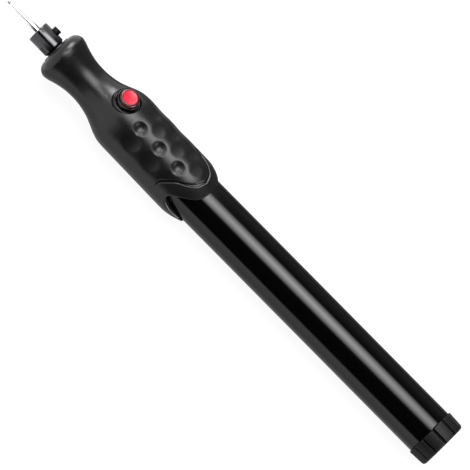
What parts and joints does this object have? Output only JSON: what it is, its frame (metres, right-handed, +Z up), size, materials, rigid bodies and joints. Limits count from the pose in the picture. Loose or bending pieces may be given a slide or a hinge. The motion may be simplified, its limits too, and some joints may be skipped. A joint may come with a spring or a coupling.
{
  "type": "electric engraving pen",
  "caption": "Slim battery engraving pen: a gloss tube with a dimpled soft grip and a push button, turning a small bit held in a clamp collar with a set screw.",
  "frame": {"origin": "below the middle of the pen's length, at the height of its lowest point, on the plane of symmetry", "axes": "+X along the pen towards the tip, +Z up through the button, Y = 0 the plane of symmetry of the grip"},
  "size_m": [0.1654, 0.018, 0.0201],
  "materials": {
    "cap_plastic": "matt, fine texture",
    "plug_brass": "turned",
    "spring_steel": "drawn wire",
    "barrel_lacquer": "gloss",
    "cell_jacket": "satin, plain, with bare ends",
    "contact_brass": "stamped",
    "carrier_plastic": "satin",
    "housing_plastic": "fine texture",
    "cover_rubber": "matt, fine texture",
    "bezel_plastic": "gloss",
    "button_plastic": "gloss",
    "motor_steel": "nickel plated",
    "bush_bronze": "sintered",
    "magnet_alloy": "nickel plated",
    "winding_copper": "enamelled copper",
    "shaft_steel": "ground",
    "collar_metal": "dark polished plating",
    "screw_steel": "black oxide",
    "bit_steel": "polished",
    "head_grit": "abrasive grit",
    "lead_red": "satin",
    "lead_black": "satin"
  },
  "bodies": {
    "handle": {"barrel_tube": "barrel_lacquer", "rear_cell": "cell_jacket", "front_cell": "cell_jacket", "positive_contact": "contact_brass", "contact_carrier": "carrier_plastic", "barrel_contact": "contact_brass", "grip_housing": "housing_plastic", "grip_cover": "cover_rubber", "switch_bezel": "bezel_plastic", "switch_body": "carrier_plastic", "switch_terminals": "contact_brass", "motor_can": "motor_steel", "motor_end_cap": "carrier_plastic", "motor_terminals": "contact_brass", "motor_brushes": "contact_brass", "motor_front_bush": "bush_bronze", "motor_rear_bush": "bush_bronze", "motor_magnet": "magnet_alloy", "lead_positive": "lead_red", "lead_switched": "lead_red", "lead_negative": "lead_black", "button_spring": "spring_steel"},
    "spindle": {"motor_shaft": "shaft_steel", "commutator": "winding_copper", "rotor_hub": "carrier_plastic", "rotor_winding": "winding_copper", "collar": "collar_metal"},
    "bit": {"bit_shank": "bit_steel", "bit_head": "head_grit"},
    "set_screw": {"set_screw": "screw_steel"},
    "button": {"button_cap": "button_plastic", "button_plunger": "carrier_plastic"},
    "spring": {"tail_spring": "spring_steel"},
    "cap": {"tail_cap": "cap_plastic", "tail_plug": "plug_brass"}
  },
  "joints": [
    {"name": "spindle_spin", "type": "hinge", "parent": "handle", "child": "spindle", "pos_m": [0.0673, 0, 0.01052], "axis": [1, 0, 0], "continuous": true},
    {"name": "bit_pull", "type": "slide", "parent": "spindle", "child": "bit", "axis": [1, 0, 0], "range_m": [0, 0.006]},
    {"name": "screw_back_off", "type": "slide", "parent": "spindle", "child": "set_screw", "axis": [0, -0.848, 0.5299], "range_m": [0, 0.0009]},
    {"name": "button_press", "type": "slide", "parent": "handle", "child": "button", "axis": [0, 0, -1], "range_m": [0, 0.0012], "stiffness_N_per_m": 400, "springref_m": -0.001, "deforming": ["button_spring"]},
    {"name": "cap_back", "type": "slide", "parent": "handle", "child": "spring", "axis": [-1, 0, 0], "range_m": [0, 0.005]},
    {"name": "cap_turn", "type": "hinge", "parent": "spring", "child": "cap", "pos_m": [-0.0801, 0, 0.00887], "axis": [-1, 0, 0], "range_deg": [0, 1800]}
  ],
  "couplings": [
    {"joint": "cap_turn", "follows": "cap_back", "rad_per_m": 6283.2}
  ]
}
